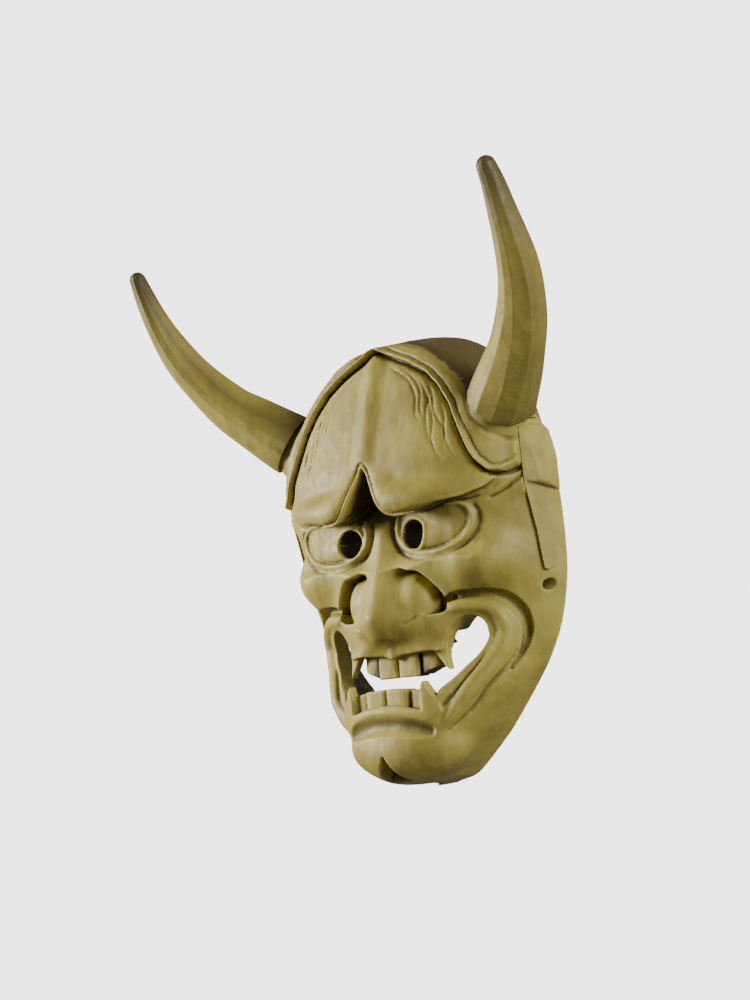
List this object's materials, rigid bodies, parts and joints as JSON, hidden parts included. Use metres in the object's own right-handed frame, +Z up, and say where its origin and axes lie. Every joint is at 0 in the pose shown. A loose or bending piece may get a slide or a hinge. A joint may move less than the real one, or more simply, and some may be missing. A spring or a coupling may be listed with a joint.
{
  "type": "noh mask",
  "caption": "Horned demon mask of bare carved wood: a hollow face block with open mouth and pierced eyes, lift-off horns and glued ears.",
  "frame": {"origin": "middle of the rim plane at eye level, on the mask's plane of symmetry", "axes": "+Z up the face, -Y the way the face looks, +X the mask's own left"},
  "size_m": [0.224, 0.0764, 0.2509],
  "materials": {
    "carved_wood": "bare, knife-cut, satin",
    "tenon_wood": "bare, planed"
  },
  "bodies": {
    "mask": {"mask_shell": "carved_wood", "ear_left": "carved_wood", "ear_right": "carved_wood"},
    "horn_left": {"horn_left": "carved_wood", "horn_tenon_left": "tenon_wood"},
    "horn_right": {"horn_right": "carved_wood", "horn_tenon_right": "tenon_wood"}
  },
  "joints": [
    {"name": "horn_left_lift", "type": "slide", "parent": "mask", "child": "horn_left", "axis": [0.7022, -0.4219, 0.5736], "range_m": [0, 0.03]},
    {"name": "horn_right_lift", "type": "slide", "parent": "mask", "child": "horn_right", "axis": [-0.7022, -0.4219, 0.5736], "range_m": [0, 0.03]}
  ]
}
